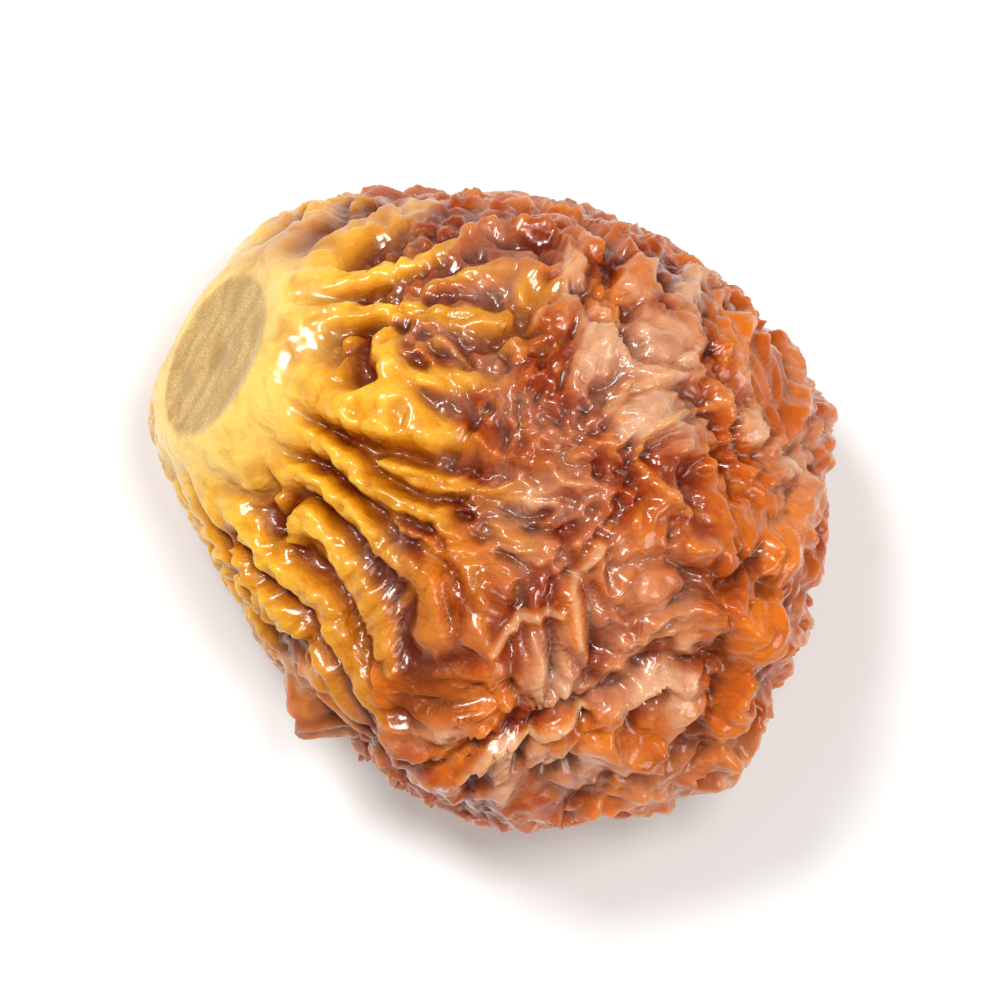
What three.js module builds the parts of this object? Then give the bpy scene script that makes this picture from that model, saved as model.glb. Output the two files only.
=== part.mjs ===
// A dried physalis berry, grown as one piece, in millimetres with +Z up.
// It lies on its side on a small flat spot at the origin, with its stem scar towards -X.
// Every point of its skin is a direction from the middle of the berry times a radius in that direction.
import * as THREE from "three";
import { mergeVertices } from "three/addons/utils/BufferGeometryUtils.js";

// Lengths are in millimetres and angles in degrees.
const meanRadius = 6;
// Where the directions start from, above the surface that the berry rests on.
const middle = { x: 0.08, y: 0.21, height: 4.4 };
// The grid's lines round the stem and from the stem to the far end.
const gridRound = 108;
const gridRings = 54;

// The sides that drying has drawn flat: which way each one faces, and how far it lies from the middle.
const flatSides = [
  // Round the berry, at about the height of its middle.
  { azimuth: -17, elevation: 2, distance: 5.7 },
  { azimuth: 47, elevation: 6, distance: 5.65 },
  { azimuth: 80, elevation: 2, distance: 5.5 },
  { azimuth: 102, elevation: 6, distance: 6.25 },
  { azimuth: 139, elevation: 4, distance: 7.2 },
  { azimuth: 158, elevation: 14, distance: 6.6 },
  { azimuth: 211, elevation: 0, distance: 5.2 },
  { azimuth: 239, elevation: -2, distance: 5.4 },
  { azimuth: 276, elevation: 4, distance: 6.05 },
  // The shoulders above and the top.
  { azimuth: 20, elevation: 48, distance: 5.5 },
  { azimuth: 100, elevation: 50, distance: 5.3 },
  { azimuth: 190, elevation: 48, distance: 5.3 },
  { azimuth: 290, elevation: 50, distance: 5.6 },
  { azimuth: 0, elevation: 90, distance: 4.8 },
  // The shoulders below and the underside.
  { azimuth: 45, elevation: -50, distance: 5.15 },
  { azimuth: 135, elevation: -50, distance: 5.15 },
  { azimuth: 225, elevation: -48, distance: 5.0 },
  { azimuth: 315, elevation: -52, distance: 5.2 },
  { azimuth: 0, elevation: -90, distance: 4.7 },
];
const cornerSharpness = 14;

// The stem scar: a round disc that faces out of the berry's end, with a shoulder that eases into the skin.
const stem = { azimuth: 154.5, elevation: 13, distance: 6.22 };
const scar = { azimuth: 156, elevation: 20, radius: 1.6, shoulder: 0.85, rimHeight: 0.05, rimWidth: 0.16 };
// Directions further than this from the one that the scar faces miss its disc.
const scarViewAngle = 60;

// Wide shallow dents, single deeper hollows, and two lobes that stand out from the edge.
const dents = { seed: 11, count: 30, wavelength: 4.6, height: 0.1 };
const hollows = [
  { azimuth: 174, elevation: 78, size: 1.2, depth: 0.3 },
  { azimuth: 8, elevation: 47, size: 0.9, depth: 0.25 },
  { azimuth: -50, elevation: 47, size: 0.8, depth: 0.22 },
  { azimuth: -20, elevation: 20, size: 1.0, depth: 0.15 },
];
const lobes = [
  { azimuth: -89, elevation: 16, size: 1.0, height: 0.16 },
  { azimuth: -133, elevation: 7, size: 0.8, height: 0.68 },
];

// Ridges run out from the stem over the cap. Between orderEnds and orderGone, in degrees from the stem, they
// lose their order and grow wider. The sideways push makes them wander.
const ridges = { seed: 5, phaseSeed: 82, count: 1700, capWidth: 1.02, bodyWidth: 1.5, patch: 0.68 };
const ridgeOrder = { capSpread: 28, bodySpread: 90, orderEnds: 42, orderGone: 68 };
const wander = { seed: 31, count: 16, wavelength: 3.0, distance: 0.24 };
// A patch of ripples ends where its window's exponent passes patchReach. rippleSoftness makes the ripples
// lower where the patches cancel out.
const patchReach = 4.5;
const rippleSoftness = 0.15;

// The crests of the cap's boldest ridges: x and y as seen from above, on a ball of the mean radius.
const ridgePaths = [
  [[-2.8, 3.3], [-2.9, 2.7], [-2.4, 2.5], [-1.4, 2.5], [-0.2, 2.6]],
  [[-3.3, 3.6], [-2.4, 3.8], [-1.5, 3.8]],
  [[-3.3, 4.1], [-2.4, 4.5], [-1.2, 5.0]],
  [[-3.6, 4.1], [-3.1, 4.7], [-1.9, 5.5]],
  [[-3.7, 1.8], [-2.7, 1.6], [-1.7, 1.4], [-1.0, 1.1]],
  [[-4.5, 1.3], [-4.0, 0.9], [-3.4, 0.2], [-2.6, -0.2]],
  [[-4.7, 0.5], [-4.0, -0.1], [-3.1, -1.1], [-2.4, -1.6], [-2.1, -2.3]],
  [[-1.9, -0.7], [-1.4, -1.6], [-1.1, -2.6]],
  [[-4.8, -0.9], [-4.6, -0.4], [-4.1, -1.0], [-3.5, -1.9], [-2.9, -2.9]],
  [[-5.4, -0.6], [-5.1, -1.3], [-4.3, -2.1], [-3.7, -3.0], [-3.1, -3.8]],
];
const pathRipples = { width: 1.05, patch: 0.46, weight: 5, step: 0.2 };

// The cap is the part with deep ridges. Its edge is ragged, and it reaches further along the crests.
const cap = { azimuth: 168, elevation: 20, angle: 54, edge: 6, reach: 10, depth: 0.46, valleyPower: 2.2 };
const capRaggedness = { seed: 21, count: 24, wavelength: 3.0, angle: 5 };
const body = { depth: 0.5, crestSoftness: 0.04, level: 0.4 };
const depthChange = { seed: 41, count: 20, wavelength: 5.0, amount: 0.4, least: 0.75, most: 1.6 };

// The wrinkles fade out round the stem scar, in degrees from the stem, and on the underside.
const calmRing = { start: 14, end: 36 };
const underside = { start: -0.8, end: -0.93 };

// Seeds push the skin out in low round lumps, which smooth the wrinkles over them. They lie beyond an angle
// from the stem, on a share of evenly spread spots, and on the single spots.
const seeds = { height: 0.2, smoothing: 0.7 };
const spreadSeeds = { seed: 61, count: 150, nudge: 0.24, share: 0.4, angle: 63, smallest: 0.5, spread: 0.3 };
const seedSpots = [
  { spot: [2.3, 1.7], radius: 0.65 },
  { spot: [2.2, -1.7], radius: 0.6 },
  { spot: [0.1, -1.1], radius: 0.5 },
  { spot: [4.0, 2.0], radius: 0.6 },
  { spot: [2.1, 4.2], radius: 0.6 },
  { spot: [1.4, 3.1], radius: 0.6 },
  { spot: [0.0, -3.5], radius: 0.55 },
  { spot: [2.6, -4.3], radius: 0.6 },
  { spot: [4.3, -0.5], radius: 0.6 },
];

function unit({ azimuth, elevation }) {
  const across = Math.cos(THREE.MathUtils.degToRad(elevation));
  const turn = THREE.MathUtils.degToRad(azimuth);
  const up = Math.sin(THREE.MathUtils.degToRad(elevation));
  return new THREE.Vector3(Math.cos(turn) * across, Math.sin(turn) * across, up);
}

// 0 up to start, 1 from end on, and an even S between them. start may be the larger of the two.
function ease(start, end, value) {
  const t = THREE.MathUtils.clamp((value - start) / (end - start), 0, 1);
  return t * t * (3 - 2 * t);
}

// A repeatable stream of numbers from 0 to 1 (mulberry32).
function randomStream(seed) {
  let state = seed;
  return () => {
    state = (state + 0x6d2b79f5) | 0;
    let t = Math.imul(state ^ (state >>> 15), state | 1);
    t ^= t + Math.imul(t ^ (t >>> 7), t | 61);
    return ((t ^ (t >>> 14)) >>> 0) / 4294967296;
  };
}

// Directions spread evenly over the sphere on a Fibonacci spiral, each nudged at random.
function spreadDirections(count, nudge, random) {
  const golden = Math.PI * (3 - Math.sqrt(5));
  return Array.from({ length: count }, (_, i) => {
    const z = 1 - (2 * (i + 0.5)) / count;
    const across = Math.sqrt(1 - z * z);
    const push = new THREE.Vector3(random() - 0.5, random() - 0.5, random() - 0.5);
    const direction = new THREE.Vector3(across * Math.cos(i * golden), across * Math.sin(i * golden), z);
    return { direction: direction.addScaledVector(push, nudge).normalize(), draw: random() };
  });
}

// A slow random height: a sum of plane waves, scaled so that its spread is about 1.
function slowWaves({ seed, count, wavelength }) {
  const random = randomStream(seed);
  const steepest = (2 * Math.PI * meanRadius) / wavelength;
  const waves = Array.from({ length: count }, () => {
    const z = 1 - 2 * random();
    const turn = 2 * Math.PI * random();
    const across = Math.sqrt(1 - z * z);
    const steepness = steepest * (0.7 + 0.3 * random());
    const vector = new THREE.Vector3(across * Math.cos(turn), across * Math.sin(turn), z);
    return { vector: vector.multiplyScalar(steepness), phase: 2 * Math.PI * random() };
  });
  const scale = Math.sqrt(2 / count);
  return (at) => scale * waves.reduce((sum, wave) => sum + Math.cos(at.dot(wave.vector) + wave.phase), 0);
}

const stemDirection = unit(stem);
const scarNormal = unit(scar);
const scarCentre = stemDirection.clone().multiplyScalar(stem.distance);
const degreesFromStem = (at) => THREE.MathUtils.radToDeg(at.angleTo(stemDirection));

const pushes = [0, 1, 2].map((axis) => slowWaves({ ...wander, seed: wander.seed + axis }));

// The direction after its sideways push.
function wandered(at) {
  const push = new THREE.Vector3(...pushes.map((wave) => wave(at)));
  return at.clone().addScaledVector(push, wander.distance / meanRadius).normalize();
}

// The direction of a spot that is given by its x and y on a ball of the mean radius.
function onBall([x, y]) {
  return new THREE.Vector3(x, y, Math.sqrt(meanRadius ** 2 - x ** 2 - y ** 2)).normalize();
}

const wavesPerWidth = (width) => (2 * Math.PI * meanRadius) / width;

// Ripples spread all over the berry. Near the stem they lie side by side round it. Beyond the cap they turn
// every way.
function spreadPatches() {
  const { seed, phaseSeed, count, capWidth, bodyWidth, patch } = ridges;
  const randomPhase = randomStream(phaseSeed);
  return spreadDirections(count, 2 / Math.sqrt(count), randomStream(seed)).map(({ direction, draw }) => {
    const roundStem = new THREE.Vector3().crossVectors(stemDirection, direction).normalize();
    const awayFromStem = new THREE.Vector3().crossVectors(roundStem, direction);
    const onBody = ease(ridgeOrder.orderEnds, ridgeOrder.orderGone, degreesFromStem(direction));
    const spread = THREE.MathUtils.lerp(ridgeOrder.capSpread, ridgeOrder.bodySpread, onBody);
    const turn = THREE.MathUtils.degToRad(spread * (2 * draw - 1));
    const wave = roundStem.multiplyScalar(Math.cos(turn)).addScaledVector(awayFromStem, Math.sin(turn));
    wave.multiplyScalar(wavesPerWidth(THREE.MathUtils.lerp(capWidth, bodyWidth, onBody)));
    const phase = 2 * Math.PI * randomPhase() - direction.dot(wave);
    return { direction, wave, phase, weight: 1, tightness: (meanRadius / patch) ** 2 };
  });
}

// Stronger ripples that hold a crest to each ridge path.
function pathPatches() {
  const { width, patch, weight, step } = pathRipples;
  return ridgePaths.flatMap((path) => {
    const curve = new THREE.CatmullRomCurve3(path.map(onBall));
    const steps = Math.ceil((curve.getLength() * meanRadius) / step);
    const points = curve.getSpacedPoints(steps).map((point) => wandered(point.normalize()));
    return points.map((direction, i) => {
      const run = points[Math.min(i + 1, steps)].clone().sub(points[Math.max(i - 1, 0)]);
      const wave = new THREE.Vector3().crossVectors(direction, run).setLength(wavesPerWidth(width));
      return { direction, wave, phase: -direction.dot(wave), weight, tightness: (meanRadius / patch) ** 2 };
    });
  });
}

// Wrinkles: many small patches of parallel ripples are summed as turning arrows, and the sum's slant is kept
// but not its length, so that the ripples have one width and one depth and join or fork where patches meet.
function ridgeWaves() {
  const patches = [...spreadPatches(), ...pathPatches()];
  const windowEdge = Math.exp(-patchReach);
  return (at) => {
    let cosine = 0;
    let sine = 0;
    for (const { direction, wave, phase, weight, tightness } of patches) {
      const window = Math.exp(-tightness * (1 - at.dot(direction))) - windowEdge;
      if (window > 0) {
        const slant = at.dot(wave) + phase;
        cosine += weight * window * Math.cos(slant);
        sine += weight * window * Math.sin(slant);
      }
    }
    return cosine / Math.hypot(cosine, sine, rippleSoftness);
  };
}

// A polyhedron of the flat sides, with its corners rounded off.
function flatSidedRadius() {
  const sides = flatSides.map((side) => unit(side).divideScalar(side.distance));
  return (at) => {
    const sum = sides.reduce((total, side) => total + Math.max(0, at.dot(side)) ** cornerSharpness, 0);
    return sum ** (-1 / cornerSharpness);
  };
}

// How high a round lump stands over each spot: 1 at a seed's middle and 0 from its edge on.
function seedLumps() {
  const { seed, count, nudge, share, angle, smallest, spread } = spreadSeeds;
  const lumps = spreadDirections(count, nudge, randomStream(seed))
    .filter(({ direction, draw }) => draw < share && degreesFromStem(direction) > angle)
    .map(({ direction, draw }) => ({ direction, radius: smallest + (spread * draw) / share }));
  for (const { spot, radius } of seedSpots) {
    lumps.push({ direction: wandered(onBall(spot)), radius });
  }
  return (at) => {
    const fromSeeds = lumps.map(({ direction, radius }) => (meanRadius * at.angleTo(direction)) / radius);
    return Math.max(0, 1 - Math.min(...fromSeeds) ** 2);
  };
}

const formAt = flatSidedRadius();
const dentAt = slowWaves(dents);
const ridgeAt = ridgeWaves();
const raggedAt = slowWaves(capRaggedness);
const depthChangeAt = slowWaves(depthChange);
const seedAt = seedLumps();
const distanceFrom = (at, spot) => meanRadius * at.angleTo(unit(spot));
const pastCalmRing = (at) => ease(calmRing.start, calmRing.end, degreesFromStem(at));

// A crest from 0 to 1 that is round, with a narrow valley: the higher the power, the narrower.
const roundCrest = (wave, power) => 1 - ((1 - wave) / 2) ** power;

// A crest from 0 to 1 that is thin, with a hollow valley, as folded skin has.
const thinCrest = (wave, softness) => 1 - Math.sqrt((1 - wave) / 2 + softness);

// The dried form without its wrinkles: flat sides, dents, hollows and lobes.
function driedRadius(at) {
  let radius = formAt(at) + dents.height * dentAt(at) * pastCalmRing(at);
  for (const hollow of hollows) {
    radius -= hollow.depth * Math.exp(-((distanceFrom(at, hollow) / hollow.size) ** 2));
  }
  for (const lobe of lobes) {
    radius += lobe.height * Math.max(0, 1 - (distanceFrom(at, lobe) / lobe.size) ** 2);
  }
  return radius;
}

// Height of the wrinkles and seed lumps above or below the dried form.
function reliefAt(at) {
  const moved = wandered(at);
  const wave = ridgeAt(moved);
  const fromCap = THREE.MathUtils.radToDeg(at.angleTo(unit(cap)));
  const capEdge = cap.angle - capRaggedness.angle * raggedAt(at) + cap.reach * wave;
  const onCap = 1 - ease(-cap.edge, cap.edge, fromCap - capEdge);
  const lump = seedAt(moved) * (1 - onCap);
  const change = 1 + depthChange.amount * depthChangeAt(at);
  const depth = body.depth * THREE.MathUtils.clamp(change, depthChange.least, depthChange.most);
  const capRelief = cap.depth * (roundCrest(wave, cap.valleyPower) - 1) * pastCalmRing(at);
  const wrinkles = depth * (thinCrest(wave, body.crestSoftness) - body.level);
  const bodyRelief = wrinkles * (1 - seeds.smoothing * lump) + seeds.height * lump;
  const aboveUnderside = 1 - ease(underside.start, underside.end, at.z);
  return THREE.MathUtils.lerp(bodyRelief, capRelief, onCap) * aboveUnderside;
}

// Eases the skin's radius into the flat disc of the stem scar, with a thin raised rim.
function withScar(at, skin) {
  const facing = at.dot(scarNormal);
  if (facing < Math.cos(THREE.MathUtils.degToRad(scarViewAngle))) return skin;
  const disc = scarCentre.dot(scarNormal) / facing;
  const fromCentre = at.clone().multiplyScalar(disc).distanceTo(scarCentre);
  const rim = scar.rimHeight * Math.exp(-(((fromCentre - scar.radius) / scar.rimWidth) ** 2));
  return THREE.MathUtils.lerp(skin, disc + rim, ease(scar.radius + scar.shoulder, scar.radius, fromCentre));
}

const radiusAt = (at) => withScar(at, driedRadius(at) + reliefAt(at));

// The skin is a sphere's grid with its pole at the stem, so that its lines run along the cap's ridges.
function berryGeometry() {
  const sphere = new THREE.SphereGeometry(1, gridRound, gridRings);
  sphere.deleteAttribute("normal");
  sphere.deleteAttribute("uv");
  const geometry = mergeVertices(sphere);
  const pole = new THREE.Vector3(0, 1, 0);
  geometry.applyQuaternion(new THREE.Quaternion().setFromUnitVectors(pole, stemDirection));
  const positions = geometry.getAttribute("position");
  const at = new THREE.Vector3();
  for (let i = 0; i < positions.count; i += 1) {
    at.fromBufferAttribute(positions, i).normalize();
    at.multiplyScalar(radiusAt(at));
    positions.setXYZ(i, at.x + middle.x, at.y + middle.y, Math.max(at.z + middle.height, 0));
  }
  geometry.computeVertexNormals();
  return geometry;
}

const driedSkin = new THREE.MeshStandardMaterial({ color: "#a8501a", roughness: 0.35, metalness: 0 });
const berry = new THREE.Mesh(berryGeometry(), driedSkin);
berry.name = "berry";

const physalisBerry = new THREE.Group();
physalisBerry.add(berry);

export default physalisBerry;
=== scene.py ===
import math
import bpy
import numpy as np
from mathutils import Matrix, Vector


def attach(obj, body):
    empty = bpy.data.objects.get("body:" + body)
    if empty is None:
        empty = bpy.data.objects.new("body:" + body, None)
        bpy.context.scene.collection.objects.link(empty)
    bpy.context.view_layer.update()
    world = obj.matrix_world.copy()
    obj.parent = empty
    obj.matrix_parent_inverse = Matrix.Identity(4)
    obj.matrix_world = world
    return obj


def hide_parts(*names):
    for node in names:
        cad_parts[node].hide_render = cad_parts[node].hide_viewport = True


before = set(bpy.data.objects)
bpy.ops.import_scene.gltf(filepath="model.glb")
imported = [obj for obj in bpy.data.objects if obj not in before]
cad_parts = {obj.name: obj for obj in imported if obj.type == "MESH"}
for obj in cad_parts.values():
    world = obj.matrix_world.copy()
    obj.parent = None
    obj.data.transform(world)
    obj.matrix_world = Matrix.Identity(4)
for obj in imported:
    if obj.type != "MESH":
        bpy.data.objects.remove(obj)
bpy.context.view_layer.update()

mm = 0.001


# Directions and random numbers

def toDirection(azimuth, elevation):  # a unit arrow from two angles in degrees
    turn, lift = math.radians(azimuth), math.radians(elevation)
    return np.array([math.cos(turn) * math.cos(lift), math.sin(turn) * math.cos(lift), math.sin(lift)])


def degreesFrom(at, direction):
    return np.degrees(np.arccos(np.clip(at @ direction, -1, 1)))


def ease(start, end, value):  # 0 up to start, 1 from end on, an even S between them
    t = np.clip((value - start) / (end - start), 0, 1)
    return t * t * (3 - 2 * t)


def randomStream(seed, count):  # mulberry32: step i mixes the bits of seed + i * stride
    bits = np.uint64(0xFFFFFFFF)
    stride = np.uint64(0x6D2B79F5)
    state = (np.uint64(seed) + np.arange(1, count + 1, dtype=np.uint64) * stride) & bits
    t = ((state ^ (state >> np.uint64(15))) * (state | np.uint64(1))) & bits
    t ^= (t + (((t ^ (t >> np.uint64(7))) * (t | np.uint64(61))) & bits)) & bits
    return ((t ^ (t >> np.uint64(14))) & bits) / 4294967296


def unitRows(vectors):
    return vectors / np.linalg.norm(vectors, axis=1, keepdims=True)


def spreadDirections(count, nudge, draws):  # a Fibonacci spiral over the sphere, each arrow nudged
    z = 1 - 2 * (np.arange(count) + 0.5) / count
    turn = np.arange(count) * math.pi * (3 - math.sqrt(5))
    across = np.sqrt(1 - z * z)
    spiral = np.stack([across * np.cos(turn), across * np.sin(turn), z], 1)
    return unitRows(spiral + (draws - 0.5) * nudge)


# The berry: every point of its skin is a direction times a radius

berryForm = {  # millimetres and degrees
    "meanRadius": 6.0,
    "middle": (0.08, 0.21, 4.4),  # where the middle of the berry lies, from the middle of its flat spot's box
    "columns": 440,  # grid lines round the stem
    "rings": 222,  # grid lines from the stem to the far end
    "flatSides": [  # azimuth, elevation and distance of each side that drying drew flat
        (-17, 2, 5.7), (47, 6, 5.65), (80, 2, 5.5), (102, 6, 6.25), (139, 4, 7.2), (158, 14, 6.6),
        (211, 0, 5.2), (239, -2, 5.4), (276, 4, 6.05),
        (20, 48, 5.5), (100, 50, 5.3), (190, 48, 5.3), (290, 50, 5.6), (0, 90, 4.8),
        (45, -50, 5.15), (135, -50, 5.15), (225, -48, 5.0), (315, -52, 5.2), (0, -90, 4.7),
    ],
    "cornerSharpness": 14,
    "bottomFade": (-0.8, -0.93),  # the wrinkles fade out towards the flat spot, by the height of a direction

    # the stem and its scar
    "stem": (154.5, 13, 6.22),  # azimuth, elevation and distance of the scar's middle
    "scarFacing": (156, 20),
    "scarViewAngle": 60,  # no part of the scar is further from the way it faces
    "scarRadius": 1.6,
    "scarShoulder": 0.85,
    "scarEdge": 0.06,  # half the width over which its colour ends
    "scarRim": (0.05, 0.16),  # height and width
    "scarPit": (0.06, 0.35),  # depth and radius
    "calmRing": (14, 36),  # the wrinkles fade out round the stem scar, in degrees from the stem

    # wide forms
    "dents": dict(seed=11, count=30, wavelength=4.6),
    "dentHeight": 0.1,
    "hollows": [  # azimuth, elevation, radius and depth
        (174, 78, 1.2, 0.3), (8, 47, 0.9, 0.25), (-50, 47, 0.8, 0.22), (-20, 20, 1.0, 0.15),
    ],
    "lobes": [(-89, 16, 1.0, 0.16), (-133, 7, 0.8, 0.68)],  # azimuth, elevation, radius and height
    "lobeRim": (0.10, 0.13),  # height and width of a lobe's raised edge

    # wrinkles; the two wavelengths are those of the cap and of the body
    "wander": dict(seed=31, count=16, wavelength=3.0),
    "wanderDistance": 0.24,
    "raysEnd": (42, 68),  # where the wrinkles stop running out from the stem, in degrees from it
    "ridges": dict(seed=5, count=1700, wavelength=(1.02, 1.5), patch=0.68, softness=0.15, stemSpread=28),
    "ridgePaths": [  # the crests of the cap's boldest ridges, x and y from above on a ball of the mean radius
        [(-2.8, 3.3), (-2.9, 2.7), (-2.4, 2.5), (-1.4, 2.5), (-0.2, 2.6)],
        [(-3.3, 3.6), (-2.4, 3.8), (-1.5, 3.8)],
        [(-3.3, 4.1), (-2.4, 4.5), (-1.2, 5.0)],
        [(-3.6, 4.1), (-3.1, 4.7), (-1.9, 5.5)],
        [(-3.7, 1.8), (-2.7, 1.6), (-1.7, 1.4), (-1.0, 1.1)],
        [(-4.5, 1.3), (-4.0, 0.9), (-3.4, 0.2), (-2.6, -0.2)],
        [(-4.7, 0.5), (-4.0, -0.1), (-3.1, -1.1), (-2.4, -1.6), (-2.1, -2.3)],
        [(-1.9, -0.7), (-1.4, -1.6), (-1.1, -2.6)],
        [(-4.8, -0.9), (-4.6, -0.4), (-4.1, -1.0), (-3.5, -1.9), (-2.9, -2.9)],
        [(-5.4, -0.6), (-5.1, -1.3), (-4.3, -2.1), (-3.7, -3.0), (-3.1, -3.8)],
    ],
    "pathRipples": dict(wavelength=1.05, patch=0.46, weight=5.0, step=0.2),
    "folds": dict(seed=9, count=3600, wavelength=(0.6, 0.72), patch=0.46, softness=0.2, stemSpread=90),
    "fineFolds": dict(seed=15, count=9000, wavelength=(0.4, 0.4), patch=0.27, softness=0.25, stemSpread=90),
    "capDepth": (0.46, 0.10, 0.035),  # of ridges, folds and fine folds
    "bodyDepth": (0.40, 0.14, 0.05),
    "bodyLevel": (0.4, 0.7),  # the part of a body ridge and of a fold that lies below the plain form
    "ridgePower": 2.2,  # the higher, the narrower the valleys
    "foldPower": 1.6,
    "crestSoftness": 0.06,
    "depthWaves": dict(seed=41, count=20, wavelength=5.0),
    "depthChange": (0.4, 0.75, 1.6),  # how much the body's depth varies, and its least and most

    # the golden cap
    "capMiddle": (168, 20),  # a little to one side of the stem
    "capAngle": 54,
    "capEdge": 6,
    "capRaggedness": 5,
    "capWaves": dict(seed=21, count=24, wavelength=3.0),
    "capReach": 10,  # how much further the cap runs along the ridges' crests
    "goldEdge": (-14, 8),  # where its gold turns brown, in degrees from its edge

    # thin raised creases that run over the body
    "creases": dict(seed=71, count=28, wavelength=3.4),
    "creaseHeight": 0.09,
    "creaseWidth": 0.2,
    "creaseWaves": dict(seed=73, count=24, wavelength=4.0),
    "creasesShow": (-0.4, 0.8),  # from where to where in these waves they rise
    "creasePaths": [  # single creases, given as the ridges are
        [(-1.1, -4.9), (-0.7, -4.5), (0.2, -4.4), (1.1, -4.1)],
        [(-0.8, -3.0), (-0.3, -2.5), (0.5, -2.4)],
        [(1.4, -1.0), (0.8, -1.9), (0.9, -2.9)],
        [(-0.1, 3.5), (0.4, 4.2), (1.1, 4.6)],
        [(1.6, 1.9), (2.0, 2.3), (2.7, 2.4)],
    ],
    "creasePathWidth": 0.13,
    "creasePathStep": 0.06,
    "creasePathRise": 1.8,  # how many times as high they are

    # seeds under the skin
    "seeds": dict(seed=61, count=150, nudge=0.24, share=0.4, stemCosine=0.45, smallest=0.5, spread=0.3),
    "seedSpots": [  # single seeds: x and y as above, and radius
        (2.3, 1.7, 0.65), (2.2, -1.7, 0.6), (0.1, -1.1, 0.5), (4.0, 2.0, 0.6), (2.1, 4.2, 0.6),
        (1.4, 3.1, 0.6), (0.0, -3.5, 0.55), (2.6, -4.3, 0.6), (4.3, -0.5, 0.6),
    ],
    "seedHeight": 0.16,
    "seedSmoothing": 0.5,
    "seedMoat": (0.10, 1.1, 0.2),  # depth in millimetres, distance and width in radii of the seed

    # patches of colour: x and y as above, and radius
    "filmAndSheenPatches": [  # where a dull film lies on the skin, and where painted sheen and glints lie
        (2.0, 3.1, 1.5), (3.3, 4.0, 1.0), (5.3, 0.9, 0.7), (0.1, -3.4, 0.7), (-0.2, -5.0, 1.0),
        (1.2, -5.1, 0.8), (2.8, -3.4, 1.1), (-0.3, -0.2, 0.5), (0.7, 4.4, 0.7), (2.6, 1.7, 1.1),
        (-2.1, -3.9, 0.5), (4.6, 2.0, 0.8),
    ],
    "darkPatches": [  # darker patches, weaker on the crests
        (-1.3, 0.8, 0.6), (4.0, 0.8, 0.6), (0.5, 5.0, 0.6), (0.3, -1.1, 0.5), (2.6, -3.0, 0.4),
        (1.1, -1.4, 0.6), (-2.4, -1.9, 0.5), (2.8, 0.1, 0.5), (0.2, 3.0, 0.6), (-1.1, -2.8, 0.7),
        (0.2, -2.3, 0.6), (1.3, -3.0, 0.5), (3.3, -3.0, 0.5), (2.3, -2.4, 0.4), (3.4, -0.7, 0.5),
        (1.4, 0.7, 0.5),
    ],
    "glowPatches": [  # painted glow, where light comes through the skin
        (5.0, -1.0, 1.0), (4.4, 3.1, 0.8), (4.3, -2.0, 0.8), (-1.5, -1.8, 1.1), (-1.8, -3.6, 1.0),
        (-1.8, -4.6, 0.6), (1.6, -4.5, 0.5), (-2.7, -2.8, 0.6), (1.6, 4.0, 0.7), (3.2, 5.0, 0.7),
        (-4.0, -3.6, 0.7),
    ],
    "brownPatches": [  # where the cap's gold has turned brown
        (-4.2, -3.9, 0.8), (-4.0, -4.4, 0.8), (-3.3, -4.7, 0.7), (-3.7, 4.6, 0.7), (-2.5, 5.3, 0.7),
        (-1.2, 5.75, 0.8), (-0.4, 3.2, 0.7), (-1.0, -1.0, 0.7),
    ],
    "brownShare": 0.8,
    "crestTint": (-0.1, 0.15),  # the heights between which the patches pass from valley to crest
    "paleInValleys": 0.4,
    "darkOffCrests": 0.5,
    "crestLine": (0.12, 0.6),  # width and strength of the painted highlight line along the crests
}

stemDirection = toDirection(*berryForm["stem"][:2])


def arc(cosines):  # angles, given by their cosines, as millimetres over the mean sphere
    return berryForm["meanRadius"] * np.arccos(np.clip(cosines, -1, 1))


def slowWaves(at, seed, count, wavelength):
    # height = sqrt(2 / count) * sum of cos(k . at + phase), with k in random directions
    draws = randomStream(seed, count * 4).reshape(count, 4)
    z = 1 - 2 * draws[:, 0]
    turn = 2 * math.pi * draws[:, 1]
    across = np.sqrt(1 - z * z)
    steepness = 2 * math.pi * berryForm["meanRadius"] / wavelength * (0.7 + 0.3 * draws[:, 2])
    k = np.stack([across * np.cos(turn), across * np.sin(turn), z], 1) * steepness[:, None]
    return np.cos(at @ k.T + 2 * math.pi * draws[:, 3]).sum(1) * math.sqrt(2 / count)


def onBall(spots):  # the directions of spots given by x and y from above on a ball of the mean radius
    spots = np.array(spots) / berryForm["meanRadius"]
    return np.column_stack([spots, np.sqrt(1 - (spots ** 2).sum(1))])


def alongPath(path, step):  # directions about every step along a path
    lengths = np.concatenate([[0], np.cumsum(np.hypot(*np.diff(path, axis=0).T))])
    along = np.linspace(0, lengths[-1], int(lengths[-1] / step) + 2)
    return onBall(np.column_stack([np.interp(along, lengths, side) for side in zip(*path)]))


def wandered(at):  # pushed sideways by slow waves, so that what is drawn with it wanders
    wander = berryForm["wander"]
    push = [slowWaves(at, wander["seed"] + i, wander["count"], wander["wavelength"]) for i in range(3)]
    return unitRows(at + np.stack(push, 1) * berryForm["wanderDistance"] / berryForm["meanRadius"])


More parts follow.
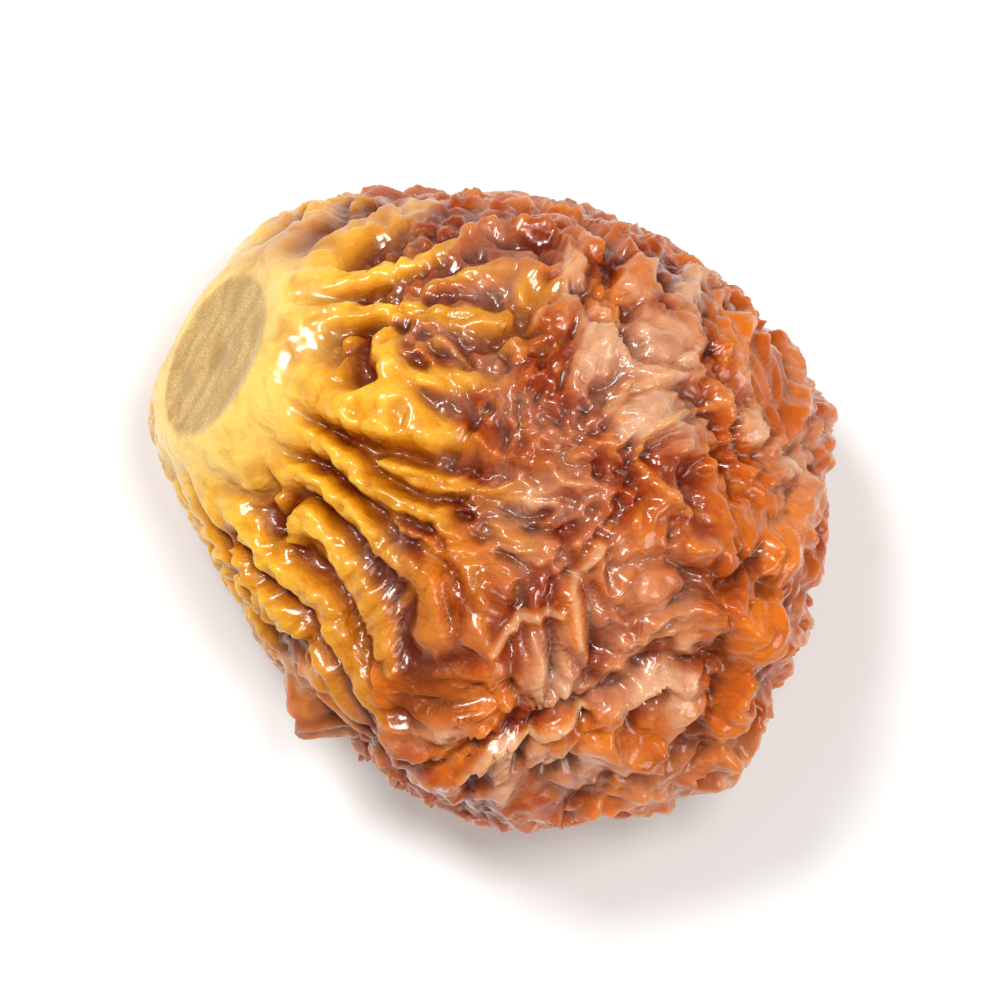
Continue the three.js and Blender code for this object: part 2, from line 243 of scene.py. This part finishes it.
def ripples(at, seed, count, wavelength, patch, softness, stemSpread, paths=()):
    # Sum over patches of window * e^(i (k . at + phase)), where the window is a Gaussian round the patch.
    # The wrinkle is the real part over the length, so it has one width and depth and forks where patches
    # meet. Patches along a path hold a crest to it.
    phaseSeed = seed + 77
    windowReach = 4.5  # the window is cut off where its exponent passes this
    batch = 4000  # how many points are worked out at once
    radius = berryForm["meanRadius"]
    draws = randomStream(seed, count * 4).reshape(count, 4)
    middles = spreadDirections(count, 2 / math.sqrt(count), draws[:, :3])
    roundStem = unitRows(np.cross(stemDirection, middles))
    awayFromStem = np.cross(roundStem, middles)
    onBody = ease(*berryForm["raysEnd"], degreesFrom(middles, stemDirection))
    spread = stemSpread + (90 - stemSpread) * onBody
    turn = np.radians(spread * (2 * draws[:, 3] - 1))[:, None]
    steepness = 2 * math.pi * radius / (wavelength[0] + (wavelength[1] - wavelength[0]) * onBody)
    k = (roundStem * np.cos(turn) + awayFromStem * np.sin(turn)) * steepness[:, None]
    phase = 2 * math.pi * randomStream(phaseSeed, count) - (middles * k).sum(1)
    size = np.full(count, patch)
    weight = np.ones(count)
    for path in paths:
        kind = berryForm["pathRipples"]
        points = wandered(alongPath(path, kind["step"]))
        across = unitRows(np.cross(points, np.gradient(points, axis=0)))
        middles = np.concatenate([middles, points])
        k = np.concatenate([k, across * (2 * math.pi * radius / kind["wavelength"])])
        phase = np.append(phase, np.zeros(len(points)))
        size = np.append(size, np.full(len(points), kind["patch"]))
        weight = np.append(weight, np.full(len(points), kind["weight"]))
    tightness = (radius / size) ** 2
    reachAngle = math.degrees(math.acos(1 - windowReach / tightness.min()))
    fromStem = degreesFrom(middles, stemDirection)
    total = np.zeros(len(at), complex)
    for start in range(0, len(at), batch):
        points = at[start:start + batch]
        band = degreesFrom(points, stemDirection)
        near = np.nonzero((fromStem > band.min() - reachAngle) & (fromStem < band.max() + reachAngle))[0]
        away = tightness[near] * (1 - points @ middles[near].T)
        row, column = np.nonzero(away < windowReach)
        window = np.exp(-away[row, column]) - math.exp(-windowReach)
        column = near[column]
        window *= weight[column]
        slant = (points[row] * k[column]).sum(1) + phase[column]
        real = np.bincount(row, window * np.cos(slant), len(points))
        imaginary = np.bincount(row, window * np.sin(slant), len(points))
        total[start:start + batch] = real + 1j * imaginary
    return total.real / np.sqrt(np.abs(total) ** 2 + softness ** 2)


def flatSidedRadius(at):
    # p-norm of the flat sides: r = (sum of max(0, side . at / distance)^p)^(-1/p), a rounded polyhedron
    power = berryForm["cornerSharpness"]
    sides = np.array([toDirection(azimuth, elevation) / distance
                      for azimuth, elevation, distance in berryForm["flatSides"]])
    return (np.maximum(at @ sides.T, 0) ** power).sum(1) ** (-1 / power)


def awayFromSeeds(at, seed, count, nudge, share, stemCosine, smallest, spread):
    # The distance from the nearest seed as a share of its radius. Seeds lie on a share of the spots of a
    # spiral, away from the stem, and on single spots.
    draws = randomStream(seed, count * 4).reshape(count, 4)
    middles = spreadDirections(count, nudge, draws[:, :3])
    kept = (draws[:, 3] < share) & (middles @ stemDirection < stemCosine)
    radii = smallest + spread * draws[kept, 3] / share
    spots = np.array(berryForm["seedSpots"])
    middles = np.concatenate([middles[kept], wandered(onBall(spots[:, :2]))])
    radii = np.append(radii, spots[:, 2])
    return (arc(at @ middles.T) / radii).min(1)


def roundedCrest(wave, power):  # 0 in the valley and 1 on the crest; a higher power narrows the valley
    return 1 - ((1 - wave) / 2) ** power


def sharpCrest(wave):  # about 0 in the valley and 1 on the crest, hollow and thin-crested like folded skin
    return 1 - np.sqrt((1 - wave) / 2 + berryForm["crestSoftness"])


def bump(away, width):  # 1 in the middle, fading out as a Gaussian
    return np.exp(-(away / width) ** 2)


def patches(at, spots):  # 1 in the middle of the nearest patch, fading out round it
    spots = np.array(spots)
    return bump(arc(at @ onBall(spots[:, :2]).T), spots[:, 2]).max(1)


def berryGrid():
    # at(u, v) turns by u round the stem and by v away from it, with one point at each pole
    form = berryForm
    u = np.arange(form["columns"]) * 2 * math.pi / form["columns"]
    v = np.arange(1, form["rings"]) * math.pi / form["rings"]
    side = np.cross(stemDirection, (0, 0, 1))
    side /= np.linalg.norm(side)
    other = np.cross(stemDirection, side)
    around = np.cos(u)[:, None] * side + np.sin(u)[:, None] * other
    grid = np.cos(v)[:, None, None] * stemDirection + np.sin(v)[:, None, None] * around[None]
    at = np.concatenate([stemDirection[None], grid.reshape(-1, 3), -stemDirection[None]])
    columns, rows = form["columns"], form["rings"] - 1
    index = 1 + np.arange(rows * columns).reshape(rows, columns)
    after = np.roll(index, -1, 1)
    quads = np.stack([index[:-1], index[1:], after[1:], after[:-1]], -1).reshape(-1, 4)
    last = len(at) - 1
    nearCap = np.stack([np.zeros(columns, int), index[0], after[0]], -1)
    farCap = np.stack([np.full(columns, last), after[-1], index[-1]], -1)
    return at, nearCap.tolist() + quads.tolist() + farCap.tolist()


def driedForm(at):
    # the form without its wrinkles: flat sides, wide dents, hollows, and the lobes with their raised edges
    form = berryForm
    dents = slowWaves(at, **form["dents"]) * ease(*form["calmRing"], degreesFrom(at, stemDirection))
    radius = flatSidedRadius(at) + form["dentHeight"] * dents
    for azimuth, elevation, size, depth in form["hollows"]:
        radius -= depth * bump(arc(at @ toDirection(azimuth, elevation)), size)
    rimHeight, rimWidth = form["lobeRim"]
    for azimuth, elevation, size, height in form["lobes"]:
        away = arc(at @ toDirection(azimuth, elevation))
        radius += height * np.maximum(1 - (away / size) ** 2, 0) + rimHeight * bump(away - size, rimWidth)
    return radius


def raisedCreases(at, moved):  # 1 along a random crease, more along a single one
    form = berryForm
    crease = bump(slowWaves(moved, **form["creases"]), form["creaseWidth"])
    crease *= ease(*form["creasesShow"], slowWaves(at, **form["creaseWaves"]))
    for path in form["creasePaths"]:
        away = arc((at @ alongPath(path, form["creasePathStep"]).T).max(1))
        crease = np.maximum(crease, form["creasePathRise"] * bump(away, form["creasePathWidth"]))
    return crease


def berrySurface(at):
    # the points of the skin, and the marks that tell the material what each point is
    form = berryForm
    fromStem = degreesFrom(at, stemDirection)
    dried = driedForm(at)

    moved = wandered(at)
    ridgeWave = ripples(moved, **form["ridges"], paths=form["ridgePaths"])
    foldWave = ripples(moved, **form["folds"])
    fineWave = ripples(moved, **form["fineFolds"])
    crease = raisedCreases(at, moved)
    print("wrinkles worked out")

    ragged = form["capRaggedness"] * slowWaves(at, **form["capWaves"])
    reach = form["capReach"] * ridgeWave
    pastCap = degreesFrom(at, toDirection(*form["capMiddle"])) - form["capAngle"] + ragged - reach
    onCap = 1 - ease(-form["capEdge"], form["capEdge"], pastCap)
    brown = form["brownShare"] * patches(moved, form["brownPatches"])
    golden = (1 - ease(*form["goldEdge"], pastCap)) * (1 - brown)

    # relief = depth * (wave shape - level), mixed from the cap's and the body's
    fromSeed = awayFromSeeds(moved, **form["seeds"])
    moatDepth, moatPlace, moatWidth = form["seedMoat"]
    lump = np.maximum(1 - fromSeed ** 2, 0) * (1 - onCap)
    moat = bump(fromSeed - moatPlace, moatWidth) * (1 - onCap)
    swing, least, most = form["depthChange"]
    vary = np.clip(1 + swing * slowWaves(at, **form["depthWaves"]), least, most)
    foldShape = roundedCrest(foldWave, form["foldPower"])
    capRidge, capFold, capFine = form["capDepth"]
    capRelief = capRidge * (roundedCrest(ridgeWave, form["ridgePower"]) - 1)
    capRelief += capFold * (foldShape - 1) + capFine * fineWave
    capRelief *= ease(*form["calmRing"], fromStem)
    bodyRidge, bodyFold, bodyFine = form["bodyDepth"]
    ridgeLevel, foldLevel = form["bodyLevel"]
    bodyRelief = bodyRidge * vary * (sharpCrest(ridgeWave) - ridgeLevel)
    bodyRelief += bodyFold * (foldShape - foldLevel) + bodyFine * fineWave
    bodyRelief *= 1 - form["seedSmoothing"] * lump
    bodyRelief += form["seedHeight"] * lump - moatDepth * moat + form["creaseHeight"] * crease
    relief = (onCap * capRelief + (1 - onCap) * bodyRelief) * (1 - ease(*form["bottomFade"], at[:, 2]))

    # the stem scar: a flat disc, r = (centre . normal) / (at . normal), eased into the skin round it
    normal = toDirection(*form["scarFacing"])
    centre = stemDirection * form["stem"][2]
    facing = at @ normal
    leastFacing = math.cos(math.radians(form["scarViewAngle"]))
    disc = (centre @ normal) / np.maximum(facing, leastFacing)
    fromCentre = np.linalg.norm(at * disc[:, None] - centre, axis=1)
    fromCentre[facing < leastFacing] = np.inf
    scarRadius, scarEdge = form["scarRadius"], form["scarEdge"]
    rimHeight, rimWidth = form["scarRim"]
    rim = rimHeight * bump(fromCentre - scarRadius, rimWidth)
    onDisc = ease(scarRadius + form["scarShoulder"], scarRadius, fromCentre)
    scar = ease(scarRadius + scarEdge, scarRadius - scarEdge, fromCentre)
    pitDepth, pitRadius = form["scarPit"]
    pit = bump(fromCentre, pitRadius)
    radius = (dried + relief) * (1 - onDisc) + (disc + rim) * onDisc - pitDepth * pit

    points = at * radius[:, None] + form["middle"]
    points[:, 2] = np.maximum(points[:, 2], 0)

    lineWidth, lineStrength = form["crestLine"]
    crestLine = lineStrength * np.exp(-(1 - ridgeWave) / lineWidth)
    onCrest = ease(*form["crestTint"], relief)
    # the film spots lie more on crests than in valleys, as painted sheen
    filmAndSheenShare = form["paleInValleys"] + (1 - form["paleInValleys"]) * onCrest
    marks = {
        "relief": relief * (1 - onDisc), "cap": onCap, "gold": golden, "scar": scar, "seed": lump, "pit": pit,
        # painted highlight lines along the body's crests and raised creases
        "crest": np.maximum(crestLine, crease) * (1 - onCap), "fromStem": fromStem / 180,
        "filmAndSheenSpots": patches(moved, form["filmAndSheenPatches"]) * filmAndSheenShare,
        "dark": patches(moved, form["darkPatches"]) * (1 - form["darkOffCrests"] * onCrest),
        "glowThroughSkin": patches(moved, form["glowPatches"]),
    }
    return points, marks


# Materials

def toLinear(hexColour):  # an sRGB hex colour as Blender's linear values
    values = [int(hexColour[i:i + 2], 16) / 255 for i in (1, 3, 5)]
    return tuple(x / 12.92 if x <= 0.04045 else ((x + 0.055) / 1.055) ** 2.4 for x in values) + (1,)


def addNode(tree, kind, settings=None, inputs=None):
    # adds a node, sets its own settings, and sets or links its inputs
    node = tree.nodes.new(kind)
    for name, value in (settings or {}).items():
        setattr(node, name, value)
    for name, value in (inputs or {}).items():
        socket = node.inputs[name]
        if isinstance(value, bpy.types.NodeSocket):
            tree.links.new(value, socket)
        else:
            socket.default_value = value
    return node


skinLook = {
    # valley colour: the skin's own darker tone in its folds, deepened as painted shade
    "valley": "#631a02",
    "slope": "#8a3104",
    "skin": "#a84b09",
    # a light crest tone, also laid on as painted highlight
    "crest": "#d8842f",
    "seed": "#cb701f",
    "farEndGlow": "#d2701a",  # thin skin over pale flesh, away from the stem, brightened as a painted glow
    "filmAndSheen": "#d5a988",  # the dull sugary film, also used as painted sheen and highlight
    "glowThroughSkin": "#da7a18",
    # the cap's valley and crest colours hold painted shade and painted highlight as well as its own gold
    "capValleyAndShade": "#7a3003",
    "capSlope": "#b8720f",
    "capSkin": "#e19c1e",
    "capCrestAndHighlight": "#f4be42",
    "capEdge": "#bd6e1c",
    "collarWithHighlight": "#f4d680",  # the paler skin round the stem scar, with a painted highlight
    "scar": "#dcb772",
    "scarLine": "#a07a3c",
    "bodyRoughness": 0.34,
    "capRoughness": 0.4,
    "scarRoughness": 0.85,
    "blotches": (2.6, 1.0, 0.45),  # millimetres
    "grain": 0.6,  # millimetres, of the finest wrinkles
    "grainDepth": 0.03,
    "pores": 0.16,  # millimetres, of the leathery unevenness of the skin
    "poreDepth": 0.024,
    "corkCell": 0.07,  # millimetres
    "corkStripes": 0.6,  # millimetres, of the torn fibres across the scar
    "whole": {  # what is the same all over
        "IOR": 1.4,
        "Specular IOR Level": 0.3,
        "Coat Weight": 0.68,
        "Coat Roughness": 0.15,
        "Subsurface Weight": 0.4,
        "Subsurface Radius": (1.0, 0.35, 0.08),
        "Subsurface Scale": 0.8 * mm,
    },
}


def paintOver(tree, base, coats):
    # Paints colours over a base one after the other. Each is laid on by its strength where its value passes
    # from low to high.
    for value, low, high, strength, colour in coats:
        amount = addNode(tree, "ShaderNodeMapRange", {"interpolation_type": "SMOOTHSTEP"}, {
            "Value": value, "From Min": low, "From Max": high, "To Max": strength})
        layer = addNode(tree, "ShaderNodeMix", {"data_type": "RGBA"}, {
            0: amount.outputs["Result"], 6: base, 7: toLinear(colour)})
        base = layer.outputs[2]
    return base


def makeDriedSkin():
    # Dried fruit skin: thin and waxy, shrunk over sugary flesh. Light comes through it a little, so the
    # valleys glow, and dried juice gives it a glossy coat. The scar is dull cork, torn from the stem.
    look = skinLook
    material = bpy.data.materials.new("dried fruit skin")
    material.use_nodes = True
    tree = material.node_tree
    shader = tree.nodes["Principled BSDF"]
    place = addNode(tree, "ShaderNodeTexCoord").outputs["Object"]
    marks = {}
    for name in ("relief", "cap", "gold", "scar", "seed", "pit", "crest", "fromStem", "filmAndSheenSpots", "dark",
                 "glowThroughSkin"):
        marks[name] = addNode(tree, "ShaderNodeAttribute", {"attribute_name": name}).outputs["Fac"]
    blotches = []
    for size in look["blotches"]:
        noise = addNode(tree, "ShaderNodeTexNoise", None, {
            "Vector": place, "Scale": 1 / (size * mm), "Detail": 3, "Distortion": 0.5})
        blotches.append(noise.outputs["Fac"])
    grain = addNode(tree, "ShaderNodeTexNoise", {"noise_type": "RIDGED_MULTIFRACTAL"}, {
        "Vector": place, "Scale": 1 / (look["grain"] * mm), "Detail": 3, "Offset": 1, "Gain": 2,
        "Distortion": 0.4}).outputs["Fac"]
    pores = addNode(tree, "ShaderNodeTexNoise", None, {
        "Vector": place, "Scale": 1 / (look["pores"] * mm), "Detail": 2}).outputs["Fac"]
    cork = addNode(tree, "ShaderNodeTexVoronoi", {"feature": "DISTANCE_TO_EDGE"}, {
        "Vector": place, "Scale": 1 / (look["corkCell"] * mm)}).outputs["Distance"]
    waveScale = math.tau / 20 / (look["corkStripes"] * mm)  # a wave's bands are tau / 20 / scale apart
    stripes = addNode(tree, "ShaderNodeTexWave", {"bands_direction": "Z"}, {
        "Vector": place, "Scale": waveScale, "Distortion": 7, "Detail": 2, "Detail Scale": 2}).outputs["Fac"]

    # the relief ramp paints the valleys darker and the crests lighter: partly the skin's own colour, partly
    # painted shade and painted highlight
    body = paintOver(tree, toLinear(look["valley"]), [
        (marks["relief"], -0.24, -0.08, 1, look["slope"]),
        (marks["relief"], -0.14, 0.05, 1, look["skin"]),
        # painted glow towards the far end
        (marks["fromStem"], 0.5, 0.72, 0.5, look["farEndGlow"]),
        (marks["relief"], 0.04, 0.24, 0.5, look["crest"]),
        (marks["seed"], 0.2, 0.9, 0.5, look["seed"]),
        # random patches of dull film, in the colour also used for painted sheen
        (blotches[0], 0.45, 0.65, 0.35, look["filmAndSheen"]),
        # painted glow of light through the skin
        (marks["glowThroughSkin"], 0.2, 0.8, 0.7, look["glowThroughSkin"]),
        # dull film with painted sheen and glints
        (marks["filmAndSheenSpots"], 0.1, 0.7, 0.8, look["filmAndSheen"]),
        (blotches[1], 0.5, 0.7, 0.5, look["slope"]),
        (marks["dark"], 0.2, 0.8, 0.75, look["slope"]),
        (blotches[2], 0.55, 0.75, 0.5, look["crest"]),
        # painted shade deepening the deepest valleys, over the skin's own darker tone
        (marks["relief"], -0.12, -0.28, 0.55, look["valley"]),
        # painted highlight along the crest lines and creases, palest on the single creases
        (marks["crest"], 0.3, 1.0, 0.5, look["crest"]),
        (marks["crest"], 0.9, 1.6, 0.6, look["filmAndSheen"]),
    ])
    # the cap's relief ramp: its own gold and brown, with painted shade in the valleys and painted highlight
    # on the crests
    cap = paintOver(tree, toLinear(look["capValleyAndShade"]), [
        (marks["relief"], -0.42, -0.24, 1, look["capSlope"]),
        (marks["relief"], -0.27, -0.12, 1, look["capSkin"]),
        (marks["relief"], -0.14, 0.0, 0.8, look["capCrestAndHighlight"]),
        # paler skin round the scar, partly painted highlight
        (marks["fromStem"], 0.17, 0.1, 0.65, look["collarWithHighlight"]),
        (marks["fromStem"], 0.2, 0.4, 0.7, look["capEdge"]),
        (blotches[1], 0.48, 0.7, 0.5, look["capSlope"]),
        (blotches[2], 0.5, 0.75, 0.3, look["capSlope"]),
    ])
    scar = paintOver(tree, toLinear(look["scar"]), [
        (stripes, 0.35, 0.85, 0.35, look["scarLine"]),
        (cork, 0.3, 0.05, 0.5, look["scarLine"]),
        (blotches[1], 0.45, 0.7, 0.3, look["scarLine"]),
        (marks["pit"], 0.2, 0.8, 0.6, look["scarLine"]),
    ])
    skin = addNode(tree, "ShaderNodeMix", {"data_type": "RGBA"}, {0: marks["gold"], 6: body, 7: cap})
    colour = addNode(tree, "ShaderNodeMix", {"data_type": "RGBA"}, {
        0: marks["scar"], 6: skin.outputs[2], 7: scar})
    tree.links.new(colour.outputs[2], shader.inputs["Base Color"])

    skinRoughness = addNode(tree, "ShaderNodeMix", None, {
        0: marks["cap"], 2: look["bodyRoughness"], 3: look["capRoughness"]})
    roughness = addNode(tree, "ShaderNodeMix", None, {
        0: marks["scar"], 2: skinRoughness.outputs[0], 3: look["scarRoughness"]})
    tree.links.new(roughness.outputs[0], shader.inputs["Roughness"])

    finest = addNode(tree, "ShaderNodeBump", None, {
        "Height": grain, "Strength": 1.0, "Distance": look["grainDepth"] * mm})
    leathery = addNode(tree, "ShaderNodeBump", None, {
        "Height": pores, "Strength": 1.0, "Distance": look["poreDepth"] * mm,
        "Normal": finest.outputs["Normal"]})
    tree.links.new(leathery.outputs["Normal"], shader.inputs["Normal"])
    for name, value in look["whole"].items():
        shader.inputs[name].default_value = value
    return material


def makeBerry():
    at, faces = berryGrid()
    points, marks = berrySurface(at)
    mesh = bpy.data.meshes.new("berrySkin")
    mesh.from_pydata((points * mm).tolist(), [], faces)
    mesh.polygons.foreach_set("use_smooth", [True] * len(mesh.polygons))
    for name, values in marks.items():
        layer = mesh.attributes.new(name, "FLOAT", "POINT")
        layer.data.foreach_set("value", values.astype(np.float32))
    mesh.materials.append(makeDriedSkin())
    piece = bpy.data.objects.new("berrySkin", mesh)
    bpy.context.scene.collection.objects.link(piece)
    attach(piece, "root")
    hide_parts("berry")
    print("berry made:", len(points), "points, box", points.min(0).round(2), points.max(0).round(2))


# Floor, light and camera

stageLook = {  # metres
    "floorSize": 0.6,
    "floorColour": "#f8f7f5",
    "floorRoughness": 0.7,
    "lights": [  # name, place, size and power
        ("key light", (-0.12, 0.11, 0.30), 0.09, 0.66),
        ("top light", (0.01, 0.05, 0.40), 0.08, 0.42),
        ("fill light", (0.22, -0.12, 0.20), 0.15, 0.30),
    ],
    "skyStrength": 0.28,
    "cameraPlace": (-0.042, 0.0038, 0.350),
    "cameraTarget": (0, 0.00015, 0.0045),
    "frameWidth": 0.0185,  # how much of the berry's level the picture is wide
    "pictureUp": (0, 1, 0),
}


def makeFloor():
    half = stageLook["floorSize"] / 2
    mesh = bpy.data.meshes.new("floor")
    corners = [(-half, -half, 0), (half, -half, 0), (half, half, 0), (-half, half, 0)]
    mesh.from_pydata(corners, [], [(0, 1, 2, 3)])
    paper = bpy.data.materials.new("white paper")  # uncoated, so it is matt
    paper.use_nodes = True
    shader = paper.node_tree.nodes["Principled BSDF"]
    shader.inputs["Base Color"].default_value = toLinear(stageLook["floorColour"])
    shader.inputs["Roughness"].default_value = stageLook["floorRoughness"]
    mesh.materials.append(paper)
    floor = bpy.data.objects.new("floor", mesh)
    bpy.context.scene.collection.objects.link(floor)


def aim(thing, place):
    # turns an object's -Z axis to the camera's target, with its Y axis as near to the picture's up as can be
    forward = (Vector(stageLook["cameraTarget"]) - Vector(place)).normalized()
    right = forward.cross(Vector(stageLook["pictureUp"])).normalized()
    thing.location = place
    thing.rotation_mode = "QUATERNION"
    thing.rotation_quaternion = Matrix((right, right.cross(forward), -forward)).transposed().to_quaternion()


def makeLights():
    for name, place, size, power in stageLook["lights"]:
        light = bpy.data.lights.new(name, "AREA")
        light.shape = "DISK"
        light.size = size
        light.energy = power
        lamp = bpy.data.objects.new(name, light)
        bpy.context.scene.collection.objects.link(lamp)
        aim(lamp, place)
    sky = bpy.data.worlds.new("studio white")
    sky.use_nodes = True
    background = sky.node_tree.nodes["Background"]
    background.inputs["Color"].default_value = (1, 1, 1, 1)
    background.inputs["Strength"].default_value = stageLook["skyStrength"]
    bpy.context.scene.world = sky
    bpy.context.scene.view_settings.view_transform = "Standard"
    bpy.context.scene.view_settings.look = "Medium High Contrast"  # as a product photograph is developed


def makeCamera():
    lens = bpy.data.cameras.new("camera")
    camera = bpy.data.objects.new("camera", lens)
    bpy.context.scene.collection.objects.link(camera)
    place, target = stageLook["cameraPlace"], stageLook["cameraTarget"]
    aim(camera, place)
    lens.sensor_width = 36
    lens.lens = lens.sensor_width * (Vector(target) - Vector(place)).length / stageLook["frameWidth"]
    lens.clip_start = 0.01
    bpy.context.scene.camera = camera


makeCamera()
makeLights()
makeFloor()
print("stage made")
makeBerry()
